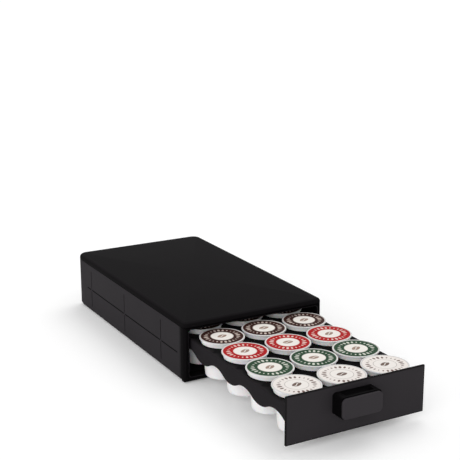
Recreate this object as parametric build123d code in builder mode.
from build123d import *
import math
import os

# A flat storage drawer for single-serve coffee pods, with a level deck on top that takes a load.
# A low housing (top cover, two side panels, back panel, base plate and front bezel) holds two
# rails. A tray with collared sockets runs on the rails and carries the pods, and its front panel
# closes flush inside the bezel. Everything is drawn with the drawer pulled partly open.
#
# Frame: millimetres, +Z up, the drawer opens towards -Y. The origin is on the table, in the middle
# of the box around the whole unit in this position.

os.makedirs("parts", exist_ok=True)

# ---- Pods ------------------------------------------------------------------------------------
columns = 3
rows = 6
lid_radius = 25.5
lid_thickness = 0.5
lid_gap_across = 3.0        # between the lids of neighbouring columns
lid_gap_along = 0.8         # between the lids of neighbouring rows
cup_flange = 0.8            # thickness of the flange that carries the lid
cup_band_radius = 23.4      # wide band under the flange, which stands on the tray
cup_band_height = 5.0
cup_body_radius = 22.2      # just under the band
cup_bottom_radius = 19.5
cup_wall = 1.0
cup_height = 44.8
pod_sides = 18              # round forms that repeat for every pod get this many narrow flats
cup_lining_sides = 7

# ---- Tray ------------------------------------------------------------------------------------
deck_thickness = 1.8
deck_margin = 2.5           # deck left outside the outer lids
socket_clearance = 0.4
rib_thickness = 1.2
rib_depth = 5.0
skirt_thickness = 1.4
skirt_depth = 20.3          # deck top to the lowest points of the scalloped skirts
wave_period = 61.2
wave_rise = 3.9             # half the height of the scallops
wave_first_crest = 24.3     # behind the front panel's face
first_lid_gap = 0.4         # between the front panel's back and the first lids
rear_margin = 3.2           # between the last lids and the rear of the tray
end_wall = 1.8
front_wall_height = 25.0
lug_reach = 4.5             # stop lugs on the sides of the tray, near its rear end
lug_length = 10.0
lug_height = 11.0
lug_from_rear = 30.0
lug_drop = 0.8              # below the deck

# ---- Front panel and pull --------------------------------------------------------------------
front_height = 52.0
front_thickness = 2.4
front_overhang = 2.0        # beyond the tray, on each side
front_above_deck = 9.7
front_corner = 1.0
bevel_width = 4.2
bevel_depth = 0.5
hook_count = 4              # snap hooks on the back of the panel
hook_width = 10.0
hook_thickness = 1.8
hook_lip = 1.0
hook_drop = 16.0            # below the ribs of the tray
pull_width = 51.0
pull_height = 24.5
pull_offset = -6.0          # the pull stands a little left of the middle
pull_drop = 18.0            # from the panel's top edge to the pull's middle
pull_pad_thickness = 4.0
pull_stem_length = 14.0
pull_corner = 5.0
pull_edge_bevel = 1.2
stem_inset = 2.0            # stem inside the outline of the pad
stem_corner = 3.5
stem_scoop = 4.5            # depth of the finger scoops above and below the stem
stem_scoop_width = 34.0
stem_land = 2.0             # flat left in front of and behind a scoop
spigot_depth = 1.0          # a spigot on the stem locates the pad
spigot_width = 36.0
spigot_height = 8.0
pull_screw_spacing = 24.0

# ---- Housing ---------------------------------------------------------------------------------
drawer_opening = 203.4      # how far the drawer stands open
front_side_gap = 1.0
front_top_gap = 2.3
front_bottom_gap = 1.6
bezel_bar = 6.25            # width of the upright bars beside the opening
bezel_top_bar = 2.4
bezel_depth = 8.0
bezel_ground_gap = 1.0
bezel_sill = 6.1            # height of the bezel below the opening
bezel_bevel = 0.8
opening_corner = 3.0
sleeve_wall = 1.6
sleeve_depth = 6.0
wall = 2.5
front_corner_radius = 5.0
rear_corner_radius = 12.0
corner_run = 5.0            # straight end of a side panel beyond its rounded rear corner
foot_gap = 1.5              # base plate above the table
base_thickness = 2.5
base_inset = 1.5            # base plate inside the outline of the side panels
cover_thickness = 2.5
cover_rim = 6.6
cover_round = 4.5
rear_clearance = 6.5        # closed tray to the back panel
stop_clearance = 0.3
fit_gap = 0.2               # between pieces that slip into each other
guide_clearance = 0.5
lid_side_clearance = 0.8
guide_thickness = 1.4
lip_depth = 4.0
lip_thickness = 1.6
stiffener_depth = 4.0
stiffener_count = 5
long_rib_end_gap = 48.0     # from each end of the housing to the ends of the long ribs

# ---- Grooves pressed into the side panels ----------------------------------------------------
groove_width = 1.3
groove_depth = 0.6
groove_positions = (62.0, 167.5, 276.0)     # upright grooves, behind the housing's front
groove_bottom = 5.0                         # above the panel's bottom edge
groove_top = 53.0
groove_mid = 28.0
groove_start = 19.0
groove_end = 290.0
groove_break = 2.2                          # gap left on each side where grooves would cross

# ---- Rails -----------------------------------------------------------------------------------
rail_width = 7.3
rail_wall = 1.6
rail_guide_height = 5.0
clip_spacing = 200.0        # clips of the rails, along each rail
clip_length = 16.0
glide_clearance = 0.3

# ---- Screws, feet and keys -------------------------------------------------------------------
screw_radius = 1.5
screw_sides = 8
screw_head_radius = 3.0
screw_head_sides = 6
screw_head_height = 1.2
screw_length = 10.0
screw_clearance = 0.1
foot_radius = 8.0
foot_inset = 20.0
key_length = 16.0
key_height = 6.0
key_count = 4
floor_rib_height = 3.0
floor_rib_count = 3
tab_length = 12.0
tab_count = 3

# ---- Places worked out from the sizes --------------------------------------------------------
pitch_across = 2 * lid_radius + lid_gap_across
pitch_along = 2 * lid_radius + lid_gap_along
tray_width = (columns - 1) * pitch_across + 2 * (lid_radius + deck_margin)
first_row = front_thickness + first_lid_gap + lid_radius
tray_rear = first_row + (rows - 1) * pitch_along + lid_radius + rear_margin
front_width = tray_width + 2 * front_overhang
opening_width = front_width + 2 * front_side_gap
housing_width = opening_width + 2 * bezel_bar
housing_length = tray_rear + rear_clearance + wall
pull_reach = pull_stem_length + pull_pad_thickness
total_length = pull_reach + drawer_opening + housing_length

front_face_y = pull_reach - total_length / 2
housing_front_y = front_face_y + drawer_opening
housing_back_y = housing_front_y + housing_length
housing_mid_y = (housing_front_y + housing_back_y) / 2
tray_front_y = front_face_y + front_thickness
tray_rear_y = front_face_y + tray_rear
tray_length = tray_rear_y - tray_front_y
tray_mid_y = (tray_front_y + tray_rear_y) / 2
pods_mid_y = front_face_y + first_row + (rows - 1) * pitch_along / 2

base_top = foot_gap + base_thickness
opening_bottom = bezel_ground_gap + bezel_sill
front_bottom = opening_bottom + front_bottom_gap
front_top = front_bottom + front_height
opening_top = front_top + front_top_gap
seam_height = opening_top + bezel_top_bar
housing_height = seam_height + cover_rim
cover_underside = housing_height - cover_thickness
deck_top = front_top - front_above_deck
deck_bottom = deck_top - deck_thickness
skirt_bottom = deck_top - skirt_depth
wave_mid = skirt_bottom + wave_rise
rail_top = skirt_bottom - glide_clearance
rail_height = rail_top - base_top
flange_bottom = deck_top + cup_band_height
cup_top = flange_bottom + cup_flange

deck_width = tray_width - 2 * skirt_thickness
socket_radius = cup_body_radius + socket_clearance
rail_outer = opening_width / 2 - fit_gap
rail_middle = rail_outer - rail_width / 2
clip_x = rail_outer - rail_width + rail_wall / 2
sleeve_rear_y = housing_front_y + bezel_depth + sleeve_depth
rail_front_y = sleeve_rear_y + fit_gap
rail_rear_y = housing_back_y - wall - rear_clearance + stop_clearance
rail_length = rail_rear_y - rail_front_y
rail_mid_y = (rail_front_y + rail_rear_y) / 2
inner_wall_x = housing_width / 2 - wall
panel_seam_x = housing_width / 2 - rear_corner_radius - corner_run
pull_height_z = front_top - pull_drop


def facing_front(y):
    """Upright plane at y: its first axis is X, its second Z, and its normal points to the front."""
    return Plane.XZ.offset(-y)


def facing_right(x):
    """Upright plane at x: its first axis is Y, its second Z, and its normal points to the right."""
    return Plane.YZ.offset(x)


def housing_outline(inset):
    """Plan of the housing around the sketch's origin, pulled in by inset, with rounder rear corners."""
    with BuildSketch() as outline:
        Rectangle(housing_width - 2 * inset, housing_length - 2 * inset)
        fillet(outline.vertices().group_by(Axis.Y)[-1], radius=rear_corner_radius - inset)
        fillet(outline.vertices().group_by(Axis.Y)[0], radius=front_corner_radius - inset)
    return outline.sketch


def write(name, label):
    """Name a finished piece and write it to its own file."""
    name.part.label = label
    export_step(name.part, f"parts/{label}.step")


# ---- Base plate ------------------------------------------------------------------------------
# A flat floor with keys that hold the side panels upright, notches for their tabs, slots for the
# clips of the rails and low ribs on its upper face.
key_x = inner_wall_x - fit_gap - lip_thickness / 2
foot_span_x = housing_width - 2 * foot_inset
foot_span_y = housing_length - 2 * foot_inset
tab_pitch = housing_length / (tab_count + 1)
key_pitch = housing_length / (key_count + 1)
floor_rib_span = 2 * (rail_middle - rail_width)

with BuildPart() as base_plate:
    with BuildSketch(Plane.XY.offset(foot_gap)):
        with Locations((0, housing_mid_y)):
            add(housing_outline(base_inset))
        with Locations((0, housing_front_y)):
            Rectangle(housing_width, 2 * bezel_depth, mode=Mode.SUBTRACT)
    extrude(amount=base_thickness)
    with BuildSketch(Plane.XY.offset(base_top)):
        with Locations((0, housing_mid_y)):
            with GridLocations(2 * key_x, key_pitch, 2, key_count):
                Rectangle(lip_thickness, key_length)
    extrude(amount=key_height)
    with BuildSketch(Plane.XY.offset(base_top)):
        with Locations((0, housing_mid_y)):
            with GridLocations(0, housing_length / (floor_rib_count + 1), 1, floor_rib_count):
                Rectangle(floor_rib_span, rib_thickness)
            with GridLocations(pitch_across, 0, 2, 1):
                Rectangle(rib_thickness, housing_length - 2 * long_rib_end_gap)
    extrude(amount=floor_rib_height)
    with BuildSketch(Plane.XY.offset(foot_gap)):
        with Locations((0, housing_mid_y)):
            with GridLocations(housing_width - 2 * wall, tab_pitch, 2, tab_count):
                Rectangle(2 * wall, tab_length + 2 * fit_gap)
        with Locations((0, rail_mid_y)):
            with GridLocations(2 * clip_x, clip_spacing, 2, 2):
                Rectangle(rail_wall + 2 * fit_gap, clip_length + 2 * fit_gap)
    extrude(amount=base_thickness, mode=Mode.SUBTRACT)
write(base_plate, "base_plate")

# ---- Rubber feet -----------------------------------------------------------------------------
with BuildPart() as rubber_feet:
    with BuildSketch(Plane.XY):
        with Locations((0, housing_mid_y)):
            with GridLocations(foot_span_x, foot_span_y, 2, 2):
                Circle(foot_radius)
    extrude(amount=foot_gap)
write(rubber_feet, "rubber_feet")

# ---- Side panels -----------------------------------------------------------------------------
# Each panel is a strip of the housing's rounded outline: a long flat side that bends round the
# rear corner to meet the back panel. Shallow grooves divide its outer face.


def panel_grooves():
    """Grooves of one side on a plane whose first axis runs back from the housing's front."""
    uppers = (groove_mid + groove_break + groove_top) / 2
    lowers = (groove_mid - groove_break + groove_bottom) / 2
    upper_length = groove_top - groove_mid - groove_break
    lower_length = groove_mid - groove_break - groove_bottom
    ends = (groove_start - groove_break,) + groove_positions + (groove_end + groove_break,)
    with BuildSketch() as grooves:
        for place in groove_positions:
            with Locations((place, uppers)):
                Rectangle(groove_width, upper_length)
            with Locations((place, lowers)):
                Rectangle(groove_width, lower_length)
        for near, far in zip(ends[:-1], ends[1:]):
            with Locations(((near + far) / 2, groove_mid)):
                Rectangle(far - near - 2 * groove_break, groove_width)
    return grooves.sketch


def side_strip():
    """Plan of the right-hand panel, round its rear corner and up to the bezel."""
    with BuildSketch() as strip:
        add(housing_outline(0))
        add(housing_outline(wall), mode=Mode.SUBTRACT)
        with Locations((panel_seam_x, bezel_depth - housing_length / 2)):
            Rectangle(housing_width, housing_length, align=(Align.MIN, Align.MIN), mode=Mode.INTERSECT)
    return strip.sketch


with BuildPart() as right_side_panel:
    with BuildSketch(Plane.XY.offset(base_top)):
        with Locations((0, housing_mid_y)):
            add(side_strip())
    extrude(amount=seam_height - base_top)
    with BuildSketch(Plane.XY.offset(foot_gap)):
        with Locations((inner_wall_x, housing_mid_y)):
            with GridLocations(0, tab_pitch, 1, tab_count):
                Rectangle(wall - base_inset, tab_length, align=(Align.MIN, Align.CENTER))
    extrude(amount=base_thickness)
    with BuildSketch(facing_right(housing_width / 2)):
        with Locations((housing_front_y, base_top)):
            add(panel_grooves())
    extrude(amount=-groove_depth, mode=Mode.SUBTRACT)
write(right_side_panel, "right_side_panel")

with BuildPart() as left_side_panel:
    add(right_side_panel.part)
    mirror(about=Plane.YZ, mode=Mode.REPLACE)
write(left_side_panel, "left_side_panel")

# ---- Back panel ------------------------------------------------------------------------------
# It stands between the two side panels. Flanges reach behind their rounded ends, and two hollow
# stops meet the rear of the tray when the drawer is closed.
back_width = 2 * (panel_seam_x - fit_gap)
flange_reach = 5.2           # how far a flange lies behind and beside the seam
flange_end_gap = 5.0
stop_size = 14.0
stop_height_z = deck_bottom - rib_depth - stop_size

with BuildPart() as back_panel:
    with BuildSketch(facing_front(housing_back_y)):
        with Locations((0, (base_top + seam_height) / 2)):
            Rectangle(back_width, seam_height - base_top)
    extrude(amount=wall)
    with BuildSketch(facing_front(housing_back_y - wall)):
        with Locations((0, (base_top + seam_height) / 2)):
            with GridLocations(back_width, 0, 2, 1):
                Rectangle(2 * flange_reach, seam_height - base_top - 2 * flange_end_gap)
    extrude(amount=sleeve_wall)
    with BuildSketch(facing_front(housing_back_y - wall)):
        with Locations((0, stop_height_z)):
            with GridLocations(pitch_across * (columns - 1), 0, 2, 1):
                Rectangle(stop_size, stop_size)
                Rectangle(stop_size - 2 * rail_wall, stop_size - 2 * rail_wall, mode=Mode.SUBTRACT)
    extrude(amount=rear_clearance - stop_clearance)
write(back_panel, "back_panel")

# ---- Front bezel -----------------------------------------------------------------------------
# The frame that the drawer's front closes into. A sleeve behind the opening stiffens it, stops
# the lugs of the tray and carries the pads that grip the side panels.
opening_height = opening_top - opening_bottom
opening_mid_z = (opening_top + opening_bottom) / 2
grip_pad = inner_wall_x - opening_width / 2 - sleeve_wall
grip_height = 14.0
grip_pitch = 28.0

with BuildPart() as front_bezel:
    with BuildSketch(Plane.XY.offset(bezel_ground_gap)):
        with Locations((0, housing_mid_y)):
            add(housing_outline(0))
        with Locations((0, housing_front_y)):
            Rectangle(housing_width, 2 * bezel_depth, mode=Mode.INTERSECT)
    extrude(amount=seam_height - bezel_ground_gap)
    with BuildSketch(facing_front(sleeve_rear_y)):
        with Locations((0, opening_mid_z)):
            RectangleRounded(
                opening_width + 2 * sleeve_wall,
                min(opening_height + 2 * sleeve_wall, 2 * (seam_height - opening_mid_z)),
                opening_corner + sleeve_wall,
            )
    extrude(amount=sleeve_depth)
    with BuildSketch(facing_front(sleeve_rear_y)):
        with Locations((0, opening_mid_z)):
            with GridLocations(opening_width + 2 * sleeve_wall + grip_pad, grip_pitch, 2, 2):
                Rectangle(grip_pad, grip_height)
    extrude(amount=sleeve_depth)
    with BuildSketch(facing_front(sleeve_rear_y)):
        with Locations((0, opening_mid_z)):
            RectangleRounded(opening_width, opening_height, opening_corner)
    extrude(amount=sleeve_depth + bezel_depth, mode=Mode.SUBTRACT)
    front_loop = front_bezel.faces().sort_by(Axis.Y)[0].inner_wires()[0]
    chamfer(front_loop.edges(), length=bezel_bevel)
write(front_bezel, "front_bezel")

# ---- Top cover -------------------------------------------------------------------------------
# A shallow lid with a rounded rim. Lips drop inside the side panels, two long guides run just
# above the edges of the tray so that a loaded drawer can't tip, and ribs stiffen the deck.
guide_x = (columns - 1) * pitch_across / 2 + lid_radius + lid_side_clearance
guide_bottom = deck_top + guide_clearance
lip_length = housing_length - 2 * rear_corner_radius - bezel_depth - sleeve_depth

with BuildPart() as top_cover:
    with BuildSketch(Plane.XY.offset(seam_height)):
        with Locations((0, housing_mid_y)):
            add(housing_outline(0))
    extrude(amount=cover_rim)
    fillet(top_cover.faces().sort_by(Axis.Z)[-1].edges(), radius=cover_round)
    with BuildSketch(Plane.XY.offset(seam_height)):
        with Locations((0, housing_mid_y)):
            add(housing_outline(wall))
    extrude(amount=cover_rim - cover_thickness, mode=Mode.SUBTRACT)
    with BuildSketch(Plane.XY.offset(cover_underside)):
        with Locations((0, rail_mid_y)):
            with GridLocations(2 * guide_x + guide_thickness, 0, 2, 1):
                Rectangle(guide_thickness, rail_length)
    extrude(amount=guide_bottom - cover_underside)
    with BuildSketch(Plane.XY.offset(cover_underside)):
        with Locations((0, rail_front_y + lip_length / 2)):
            with GridLocations(2 * key_x, 0, 2, 1):
                Rectangle(lip_thickness, lip_length)
    extrude(amount=seam_height - lip_depth - cover_underside)
    with BuildSketch(Plane.XY.offset(cover_underside)):
        with Locations((0, housing_mid_y)):
            with GridLocations(0, housing_length / (stiffener_count + 1), 1, stiffener_count):
                Rectangle(2 * guide_x, rib_thickness)
            with GridLocations(pitch_across, 0, 2, 1):
                Rectangle(rib_thickness, housing_length - 2 * long_rib_end_gap)
    extrude(amount=-stiffener_depth)
write(top_cover, "top_cover")

# ---- Rails -----------------------------------------------------------------------------------
# Hollow mouldings, open below, with a bearing top and a low guide wall on the outer side. Clips
# under the inner wall press into slots of the base plate.


def make_rail(side):
    """One rail: side is 1 for the right rail and -1 for the left."""
    with BuildPart() as rail:
        with BuildSketch(Plane.XY.offset(base_top)):
            with Locations((side * rail_middle, rail_mid_y)):
                Rectangle(rail_width, rail_length)
        extrude(amount=rail_height)
        offset(amount=-rail_wall, openings=rail.faces().sort_by(Axis.Z)[0])
        with BuildSketch(Plane.XY.offset(rail_top)):
            with Locations((side * (rail_outer - rail_wall / 2), rail_mid_y)):
                Rectangle(rail_wall, rail_length)
        extrude(amount=rail_guide_height)
        with BuildSketch(Plane.XY.offset(base_top)):
            with Locations((side * clip_x, rail_mid_y)):
                with GridLocations(0, clip_spacing, 1, 2):
                    Rectangle(rail_wall, clip_length)
        extrude(amount=-base_thickness)
    return rail


left_rail = make_rail(-1)
write(left_rail, "left_rail")
right_rail = make_rail(1)
write(right_rail, "right_rail")

# ---- Pod tray --------------------------------------------------------------------------------
# A deck with a socket for every pod, ribs between the sockets and end walls. Two scalloped skirts
# are welded to its edges. They stand on the rails at their low points and carry the ramped lugs
# that stop the drawer.
lug_rear_y = tray_rear_y - lug_from_rear
lug_front_y = lug_rear_y - lug_length
lug_top = deck_bottom - lug_drop
half_wave = wave_period / 2
half_wave_count = math.ceil(tray_rear / half_wave) + 2
wave_start_y = front_face_y + wave_first_crest - half_wave / 2 - half_wave
hook_pitch = tray_width / hook_count
hook_z = deck_bottom - rib_depth - hook_drop
window_width = pull_screw_spacing + 2 * (screw_head_radius + socket_clearance)
window_height = 2 * (screw_head_radius + socket_clearance)


def skirt_outline():
    """Side view of a skirt: straight along the deck, scalloped below by arcs that meet smoothly."""
    wave_end_y = wave_start_y + half_wave_count * half_wave
    with BuildSketch() as skirt:
        with BuildLine():
            for number in range(half_wave_count):
                start_y = wave_start_y + number * half_wave
                rise = wave_rise if number % 2 else -wave_rise
                ThreePointArc(
                    (start_y, wave_mid),
                    (start_y + half_wave / 2, wave_mid + rise),
                    (start_y + half_wave, wave_mid),
                )
            Polyline(
                (wave_end_y, wave_mid),
                (wave_end_y, deck_top),
                (wave_start_y, deck_top),
                (wave_start_y, wave_mid),
            )
        make_face()
        with Locations((tray_mid_y, deck_top)):
            Rectangle(tray_length, 2 * skirt_depth, mode=Mode.INTERSECT)
    return skirt.sketch


with BuildPart() as pod_tray:
    with BuildSketch(Plane.XY.offset(deck_bottom)):
        with Locations((0, tray_mid_y)):
            Rectangle(deck_width, tray_length)
        with Locations((0, pods_mid_y)):
            with GridLocations(pitch_across, pitch_along, columns, rows):
                RegularPolygon(socket_radius, pod_sides, mode=Mode.SUBTRACT)
    extrude(amount=deck_thickness)
    with BuildSketch(Plane.XY.offset(deck_bottom)):
        with Locations((0, pods_mid_y)):
            with GridLocations(pitch_across, 0, columns - 1, 1):
                Rectangle(rib_thickness, rows * pitch_along)
            with GridLocations(0, pitch_along, 1, rows - 1):
                Rectangle(deck_width, rib_thickness)
    extrude(amount=-rib_depth)
    with BuildSketch(facing_front(tray_front_y)):
        with Locations((0, deck_bottom)):
            Rectangle(deck_width, front_wall_height, align=(Align.CENTER, Align.MAX))
        with Locations((0, hook_z)):
            with GridLocations(hook_pitch, 0, hook_count, 1):
                Rectangle(
                    hook_width + 2 * fit_gap, hook_thickness + hook_lip + 2 * fit_gap, mode=Mode.SUBTRACT
                )
        with Locations((pull_offset, pull_height_z)):
            Rectangle(window_width, window_height, mode=Mode.SUBTRACT)
    extrude(amount=-end_wall)
    with BuildSketch(facing_front(tray_rear_y)):
        with Locations((0, deck_bottom)):
            Rectangle(deck_width, deck_bottom - skirt_bottom, align=(Align.CENTER, Align.MAX))
    extrude(amount=end_wall)
write(pod_tray, "pod_tray")


def make_skirt(side):
    """One skirt with its lug: side is 1 for the right skirt and -1 for the left."""
    with BuildPart() as skirt:
        with BuildSketch(facing_right(side * tray_width / 2)):
            add(skirt_outline())
        extrude(amount=-side * skirt_thickness)
        with BuildSketch(Plane.XY.offset(lug_top)):
            with BuildLine():
                Polyline(
                    (side * deck_width / 2, lug_front_y),
                    (side * (tray_width / 2 + lug_reach), lug_front_y),
                    (side * (tray_width / 2 + lug_reach), lug_front_y + skirt_thickness),
                    (side * tray_width / 2, lug_rear_y),
                    (side * deck_width / 2, lug_rear_y),
                    close=True,
                )
            make_face()
        extrude(amount=-lug_height)
    return skirt


left_skirt = make_skirt(-1)
write(left_skirt, "left_skirt")
right_skirt = make_skirt(1)
write(right_skirt, "right_skirt")

# ---- Drawer front ----------------------------------------------------------------------------
# A thin panel whose face falls away in a wide, very shallow bevel. Hooks on its back snap
# through slots in the tray's front wall.
front_mid_z = (front_top + front_bottom) / 2
hook_length = end_wall + fit_gap
hook_bottom = hook_z - (hook_thickness + hook_lip) / 2

with BuildPart() as drawer_front:
    with BuildSketch(facing_front(tray_front_y)):
        with Locations((0, front_mid_z)):
            Rectangle(front_width, front_height)
    extrude(amount=front_thickness)
    face = drawer_front.faces().sort_by(Axis.Y)[0]
    chamfer(face.edges(), length=bevel_width, length2=bevel_depth, reference=face)
    with BuildSketch(facing_front(tray_front_y)):
        with Locations((0, front_mid_z)):
            RectangleRounded(front_width, front_height, front_corner)
    extrude(amount=front_thickness, mode=Mode.INTERSECT)
    with BuildSketch(facing_front(tray_front_y + hook_length + hook_lip)):
        with Locations((0, hook_bottom)):
            with GridLocations(hook_pitch, 0, hook_count, 1):
                Rectangle(hook_width, hook_thickness, align=(Align.CENTER, Align.MIN))
    extrude(amount=hook_length + hook_lip)
    with BuildSketch(facing_front(tray_front_y + hook_length + hook_lip)):
        with Locations((0, hook_bottom)):
            with GridLocations(hook_pitch, 0, hook_count, 1):
                Rectangle(hook_width, hook_thickness + 2 * hook_lip, align=(Align.CENTER, Align.MIN))
    extrude(amount=hook_lip)
    with BuildSketch(facing_front(tray_front_y)):
        with Locations((pull_offset, pull_height_z)):
            with GridLocations(pull_screw_spacing, 0, 2, 1):
                Circle(screw_radius + screw_clearance)
    extrude(amount=front_thickness, mode=Mode.SUBTRACT)
write(drawer_front, "drawer_front")

# ---- Pull ------------------------------------------------------------------------------------
# A stem with finger scoops above and below carries a rounded pad.
stem_front_y = front_face_y - pull_stem_length
stem_half_height = pull_height / 2 - stem_inset
stem_screw_depth = screw_length - front_thickness

with BuildPart() as pull_stem:
    with BuildSketch(facing_front(front_face_y)):
        with Locations((pull_offset, pull_height_z)):
            RectangleRounded(pull_width - 2 * stem_inset, 2 * stem_half_height, stem_corner)
    extrude(amount=pull_stem_length)
    with BuildSketch(facing_front(stem_front_y)):
        with Locations((pull_offset, pull_height_z)):
            Rectangle(spigot_width, spigot_height)
    extrude(amount=spigot_depth)
    with BuildSketch(facing_right(pull_offset - stem_scoop_width / 2)):
        for side in (-1, 1):
            edge_z = pull_height_z + side * stem_half_height
            with BuildLine():
                ThreePointArc(
                    (front_face_y - stem_land, edge_z),
                    (front_face_y - pull_stem_length / 2, edge_z - side * stem_scoop),
                    (stem_front_y + stem_land, edge_z),
                )
                Line((stem_front_y + stem_land, edge_z), (front_face_y - stem_land, edge_z))
            make_face()
    extrude(amount=stem_scoop_width, mode=Mode.SUBTRACT)
    with BuildSketch(facing_front(front_face_y)):
        with Locations((pull_offset, pull_height_z)):
            with GridLocations(pull_screw_spacing, 0, 2, 1):
                Circle(screw_radius + screw_clearance)
    extrude(amount=stem_screw_depth + fit_gap, mode=Mode.SUBTRACT)
write(pull_stem, "pull_stem")

with BuildPart() as pull_pad:
    with BuildSketch(facing_front(stem_front_y)):
        with Locations((pull_offset, pull_height_z)):
            RectangleRounded(pull_width, pull_height, pull_corner)
    extrude(amount=pull_pad_thickness)
    chamfer(pull_pad.faces().sort_by(Axis.Y)[0].edges(), length=pull_edge_bevel)
    with BuildSketch(facing_front(stem_front_y)):
        with Locations((pull_offset, pull_height_z)):
            Rectangle(spigot_width + 2 * fit_gap, spigot_height + 2 * fit_gap)
    extrude(amount=spigot_depth, mode=Mode.SUBTRACT)
write(pull_pad, "pull_pad")

with BuildPart() as pull_screws:
    with BuildSketch(facing_front(tray_front_y + screw_head_height)):
        with Locations((pull_offset, pull_height_z)):
            with GridLocations(pull_screw_spacing, 0, 2, 1):
                RegularPolygon(screw_head_radius, screw_head_sides)
    extrude(amount=screw_head_height)
    with BuildSketch(facing_front(tray_front_y)):
        with Locations((pull_offset, pull_height_z)):
            with GridLocations(pull_screw_spacing, 0, 2, 1):
                RegularPolygon(screw_radius, screw_sides)
    extrude(amount=screw_length)
write(pull_screws, "pull_screws")

# ---- Pods ------------------------------------------------------------------------------------
# Thin tapered cups, each sealed by a flat lid on its flange. A wide band under the flange stands on
# the edge of the socket, and the body below it hangs in the socket.
body_height = cup_height - cup_flange - cup_band_height
cup_taper = math.degrees(math.atan2(cup_body_radius - cup_bottom_radius, body_height))


def drafted_plug(x, y, top, radius, sides, depth):
    """Solid that hangs down from the height top and narrows by the cup's draft angle."""
    with BuildPart() as plug:
        with BuildSketch(Plane.XY.offset(top)):
            with Locations((x, y)):
                RegularPolygon(radius, sides)
        extrude(amount=-depth)
        walls = plug.faces().filter_by(Axis.Z, reverse=True)
        draft(walls, neutral_plane=Plane.XY.offset(top), angle=-cup_taper)
    return plug.part


def make_cup(x, y):
    """Hollow tapered cup under a flange, open above."""
    lining_radius = cup_body_radius - cup_wall
    with BuildPart() as cup:
        with BuildSketch(Plane.XY.offset(flange_bottom)):
            with Locations((x, y)):
                RegularPolygon(lid_radius, pod_sides)
        extrude(amount=cup_flange)
        with BuildSketch(Plane.XY.offset(deck_top)):
            with Locations((x, y)):
                RegularPolygon(cup_band_radius, pod_sides)
        extrude(amount=cup_band_height)
        add(drafted_plug(x, y, deck_top, cup_body_radius, pod_sides, body_height))
        lining = drafted_plug(x, y, cup_top, lining_radius, cup_lining_sides, cup_height - cup_wall)
        add(lining, mode=Mode.SUBTRACT)
    return cup


def make_lid(x, y):
    """Sealing disc on the flange of one cup."""
    with BuildPart() as lid:
        with BuildSketch(Plane.XY.offset(cup_top)):
            with Locations((x, y)):
                RegularPolygon(lid_radius, pod_sides)
        extrude(amount=lid_thickness)
    return lid


for row in range(rows):
    for column in range(columns):
        pod_x = (column - (columns - 1) / 2) * pitch_across
        pod_y = front_face_y + first_row + row * pitch_along
        write(make_cup(pod_x, pod_y), f"pod_cup_row{row + 1}_col{column + 1}")
        write(make_lid(pod_x, pod_y), f"pod_lid_row{row + 1}_col{column + 1}")

print(f"overall {housing_width:.1f} x {total_length:.1f} x {housing_height:.1f} mm")
print(f"drawer travel: {drawer_opening:.1f} mm to close")
print(f"further travel to the stops: {lug_front_y - sleeve_rear_y:.1f} mm")
